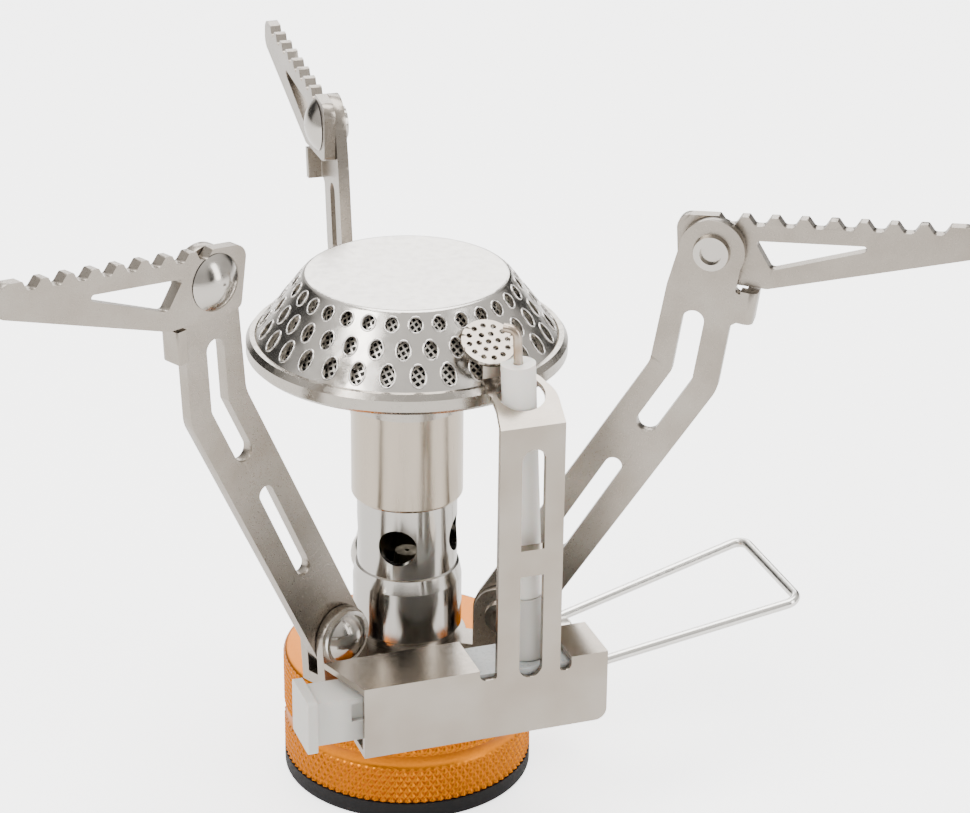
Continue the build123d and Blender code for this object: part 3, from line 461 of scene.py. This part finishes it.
# ---------------------------------------------------------------- camera, light and floor
def look(obj, target):
    direction = Vector(target) - obj.location
    obj.rotation_euler = direction.to_track_quat("-Z", "Y").to_euler()


CAMERA_PLACE = (0.009772, -0.34837, 0.20713)
CAMERA_TARGET = (0.009772, 0.0, 0.050647)
CAMERA_ROLL = 0.618
CAMERA_LENS = 113.0


def build_camera():
    data = bpy.data.cameras.new("camera")
    camera = bpy.data.objects.new("camera", data)
    bpy.context.scene.collection.objects.link(camera)
    camera.location = CAMERA_PLACE
    target = Vector(CAMERA_TARGET)
    forward = (target - camera.location).normalized()
    turn = forward.to_track_quat("-Z", "Y").to_matrix()
    roll = Matrix.Rotation(math.radians(CAMERA_ROLL), 3, "Z")
    camera.rotation_euler = (turn @ roll).to_euler()
    data.lens = CAMERA_LENS
    data.sensor_width = 36.0
    data.clip_start = 0.01
    data.clip_end = 20.0
    bpy.context.scene.camera = camera


build_camera()


def area_light(name, place, target, size, power, color=(1.0, 1.0, 1.0)):
    data = bpy.data.lights.new(name, "AREA")
    data.shape = "RECTANGLE"
    data.size = size[0]
    data.size_y = size[1]
    data.energy = power
    data.color = color
    light = bpy.data.objects.new(name, data)
    bpy.context.scene.collection.objects.link(light)
    light.location = place
    look(light, target)


area_light("key_light", (-0.45, -0.35, 0.55), (0, 0, 0.04), (0.30, 0.55), 5.5, (1.0, 0.985, 0.96))
area_light("fill_light", (0.60, -0.30, 0.30), (0, 0, 0.04), (0.20, 0.55), 2.6)
area_light("top_light", (0.05, 0.20, 0.80), (0, 0, 0.05), (0.6, 0.6), 8.0)
area_light("back_softbox", (0.0, 0.80, 0.40), (0, 0, 0.06), (0.55, 0.26), 2.4)


def build_world():
    """Studio surroundings: bright above, with tall soft panels and dark gaps between them."""
    world = bpy.data.worlds.new("studio")
    bpy.context.scene.world = world
    world.use_nodes = True
    tree = world.node_tree
    background = tree.nodes["Background"]

    def add(kind, operation=None, *values):
        made = tree.nodes.new(kind)
        if operation:
            made.operation = operation
        for number, value in enumerate(values):
            if isinstance(value, (int, float)):
                made.inputs[number].default_value = value
            elif value is not None:
                tree.links.new(value, made.inputs[number])
        return made

    coordinates = add("ShaderNodeTexCoord")
    split = add("ShaderNodeSeparateXYZ")
    tree.links.new(coordinates.outputs["Generated"], split.inputs[0])
    x, y, z = split.outputs
    bearing = add("ShaderNodeMath", "ARCTAN2", y, x).outputs[0]
    turned = add("ShaderNodeMath", "MULTIPLY_ADD", bearing, 4.0, 0.6).outputs[0]
    wave = add("ShaderNodeMath", "SINE", turned).outputs[0]
    panels = add("ShaderNodeMapRange")
    tree.links.new(wave, panels.inputs["Value"])
    panels.inputs["From Min"].default_value = -0.5
    panels.inputs["From Max"].default_value = 0.3
    panels.inputs["To Min"].default_value = 0.06
    panels.inputs["To Max"].default_value = 0.80
    above = add("ShaderNodeMapRange")
    tree.links.new(z, above.inputs["Value"])
    above.inputs["From Min"].default_value = 0.35
    above.inputs["From Max"].default_value = 0.75
    above.inputs["To Min"].default_value = 0.0
    above.inputs["To Max"].default_value = 1.0
    blend = add("ShaderNodeMix")
    blend.inputs[3].default_value = 1.15
    tree.links.new(above.outputs["Result"], blend.inputs[0])
    tree.links.new(panels.outputs["Result"], blend.inputs[2])
    tree.links.new(blend.outputs[0], background.inputs["Strength"])
    background.inputs["Color"].default_value = (1.0, 0.98, 0.95, 1.0)


build_world()


def build_floor():
    """White studio paper, lifted a little so that it stays pale without losing the soft shadow."""
    bpy.ops.mesh.primitive_plane_add(size=6.0, location=(0, 0, -0.0002))
    floor = bpy.context.object
    floor.name = "studio_floor"
    made = Shader("studio_paper", (0.95, 0.95, 0.95), 0.0, 0.9)
    made.bsdf.inputs["Specular IOR Level"].default_value = 0.0
    path = made.node("ShaderNodeLightPath")
    glow = made.node("ShaderNodeMath", operation="MULTIPLY")
    glow.inputs[1].default_value = 2.4
    made.link(path.outputs["Is Camera Ray"], glow.inputs[0])
    made.link(glow.outputs[0], made.bsdf.inputs["Emission Strength"])
    made.bsdf.inputs["Emission Color"].default_value = (1.0, 1.0, 1.0, 1.0)
    floor.data.materials.append(made.material)


build_floor()
